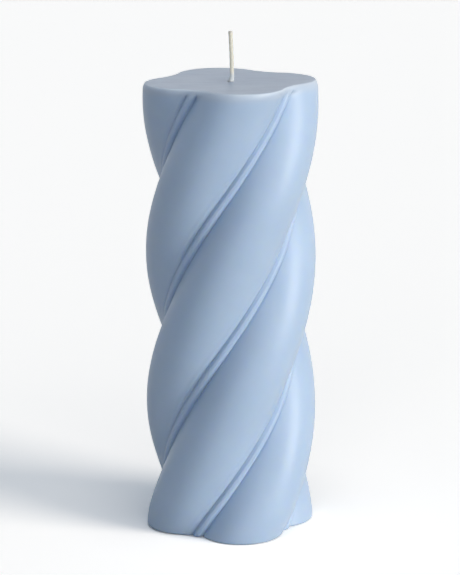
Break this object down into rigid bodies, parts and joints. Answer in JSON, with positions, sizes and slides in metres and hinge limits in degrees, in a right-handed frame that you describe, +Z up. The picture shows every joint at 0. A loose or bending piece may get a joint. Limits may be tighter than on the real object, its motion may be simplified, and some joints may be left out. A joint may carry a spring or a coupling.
{
  "type": "swirl pillar candle",
  "caption": "Tall free-standing pillar candle of light blue wax with twisted lobes, a thin bead between fine grooves in each valley, and a cotton wick.",
  "frame": {"origin": "centre of the foot, on the surface that the candle stands on", "axes": "+Z up along the candle's axis, -Y towards the viewer of the picture, +X to that viewer's right"},
  "size_m": [0.073, 0.073, 0.2108],
  "materials": {
    "wax": "smooth satin wax, light powder blue, slightly greyer on the top face",
    "waxed_cotton": "braided cotton soaked in pale wax, cream white",
    "tinplate": "thin stamped tinplate, dull bright"
  },
  "bodies": {
    "root": {"wax_body": "wax", "wick": "waxed_cotton", "wick_clip": "tinplate"}
  },
  "joints": []
}
